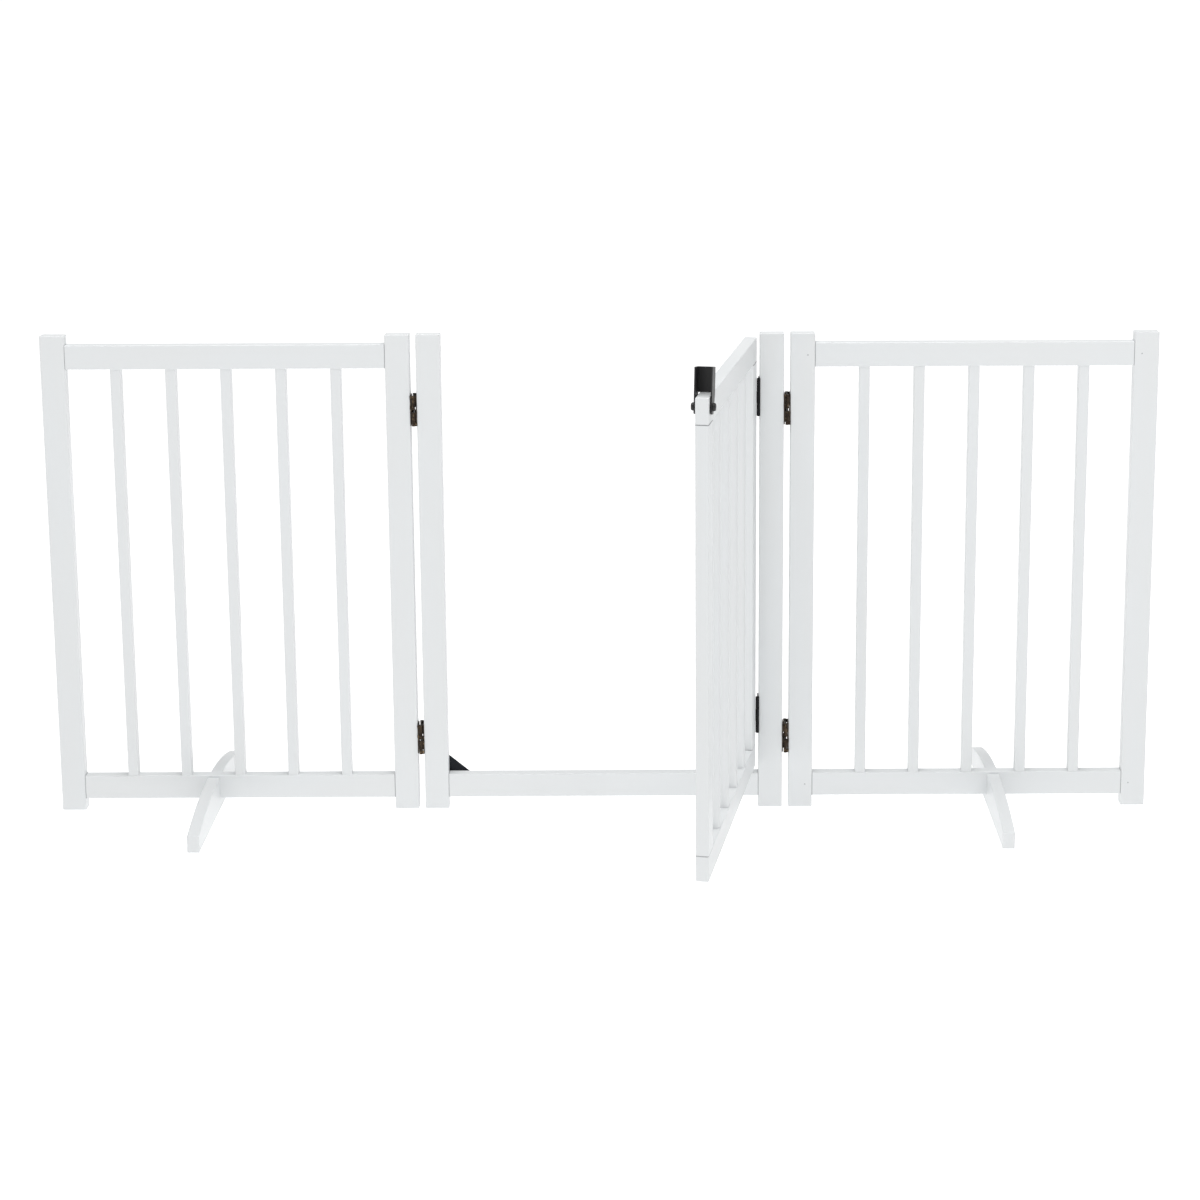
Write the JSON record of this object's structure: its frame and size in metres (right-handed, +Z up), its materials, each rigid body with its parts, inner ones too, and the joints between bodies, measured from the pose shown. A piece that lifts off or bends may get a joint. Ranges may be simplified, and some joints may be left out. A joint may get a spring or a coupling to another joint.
{
  "type": "free-standing folding pet gate",
  "caption": "White wooden three-panel folding pet gate: side panels of square spindles on arched feet, and a centre frame with a hinged walk-through door and flip latch.",
  "frame": {"origin": "middle of the footprint's bounding box, on the floor", "axes": "+X along the gate to the right as seen from the side the door opens to, -Y towards that side, +Z up"},
  "size_m": [1.372, 0.5456, 0.6374],
  "materials": {
    "painted_wood": "satin white paint",
    "antique_bronze": "dark antique bronze plate, worn edges",
    "black_metal": "satin black coating",
    "steel": "bright steel"
  },
  "bodies": {
    "centre_frame": {"door_hinge_frame_leaves": "black_metal", "door_hinge_pins": "black_metal", "door_stop_plate": "black_metal", "door_stop_screws": "black_metal", "frame_hinge_screws": "black_metal", "frame_left_stile": "painted_wood", "frame_right_stile": "painted_wood", "left_frame_hinge_leaves": "antique_bronze", "right_frame_hinge_leaves": "antique_bronze", "threshold_rail": "painted_wood"},
    "left_upper_links": {"left_upper_links": "antique_bronze", "left_upper_link_pins": "antique_bronze"},
    "left_lower_links": {"left_lower_links": "antique_bronze", "left_lower_link_pins": "antique_bronze"},
    "left_panel": {"left_bottom_rail": "painted_wood", "left_brads": "steel", "left_foot": "painted_wood", "left_foot_screw": "steel", "left_inner_stile": "painted_wood", "left_outer_stile": "painted_wood", "left_panel_hinge_leaves": "antique_bronze", "left_panel_hinge_screws": "antique_bronze", "left_spindle_1": "painted_wood", "left_spindle_2": "painted_wood", "left_spindle_3": "painted_wood", "left_spindle_4": "painted_wood", "left_spindle_5": "painted_wood", "left_top_rail": "painted_wood"},
    "right_upper_links": {"right_upper_links": "antique_bronze", "right_upper_link_pins": "antique_bronze"},
    "right_lower_links": {"right_lower_links": "antique_bronze", "right_lower_link_pins": "antique_bronze"},
    "right_panel": {"right_bottom_rail": "painted_wood", "right_brads": "steel", "right_foot": "painted_wood", "right_foot_screw": "steel", "right_inner_stile": "painted_wood", "right_outer_stile": "painted_wood", "right_panel_hinge_leaves": "antique_bronze", "right_panel_hinge_screws": "antique_bronze", "right_spindle_1": "painted_wood", "right_spindle_2": "painted_wood", "right_spindle_3": "painted_wood", "right_spindle_4": "painted_wood", "right_spindle_5": "painted_wood", "right_top_rail": "painted_wood"},
    "door": {"door_bottom_rail": "painted_wood", "door_dowel_1": "painted_wood", "door_dowel_2": "painted_wood", "door_dowel_3": "painted_wood", "door_dowel_4": "painted_wood", "door_hinge_leaves": "black_metal", "door_hinge_stile": "painted_wood", "door_latch_stile": "painted_wood", "door_leaf_screws": "black_metal", "door_top_rail": "painted_wood", "latch_pivot_screws": "black_metal"},
    "latch": {"latch_bracket": "black_metal"}
  },
  "joints": [
    {"name": "left_fold_back", "type": "hinge", "parent": "centre_frame", "child": "left_upper_links", "pos_m": [-0.23, 0.1269, 0.3], "axis": [0, 0, 1], "range_deg": [-148, 0]},
    {"name": "left_fold_forward", "type": "hinge", "parent": "left_upper_links", "child": "left_panel", "pos_m": [-0.23, 0.1089, 0.3], "axis": [0, 0, 1], "range_deg": [0, 140]},
    {"name": "left_lower_links_swing", "type": "hinge", "parent": "centre_frame", "child": "left_lower_links", "pos_m": [-0.23, 0.1089, 0.3], "axis": [0, 0, 1], "range_deg": [0, 140]},
    {"name": "right_fold_forward", "type": "hinge", "parent": "centre_frame", "child": "right_upper_links", "pos_m": [0.23, 0.1089, 0.3], "axis": [0, 0, 1], "range_deg": [-104, 0]},
    {"name": "right_fold_back", "type": "hinge", "parent": "right_upper_links", "child": "right_panel", "pos_m": [0.23, 0.1269, 0.3], "axis": [0, 0, 1], "range_deg": [0, 148]},
    {"name": "right_lower_links_swing", "type": "hinge", "parent": "centre_frame", "child": "right_lower_links", "pos_m": [0.23, 0.1269, 0.3], "axis": [0, 0, 1], "range_deg": [0, 148]},
    {"name": "door_swing", "type": "hinge", "parent": "centre_frame", "child": "door", "pos_m": [0.1945, 0.1084, 0.327], "axis": [0, 0, 1], "range_deg": [-80, 98]},
    {"name": "latch_flip", "type": "hinge", "parent": "door", "child": "latch", "pos_m": [0.11994, -0.25975, 0.594], "axis": [0.9848, -0.1736, 0], "range_deg": [0, 98.5]}
  ],
  "couplings": [
    {"joint": "left_lower_links_swing", "follows": "left_fold_forward", "ratio": 1},
    {"joint": "right_lower_links_swing", "follows": "right_fold_back", "ratio": 1}
  ]
}
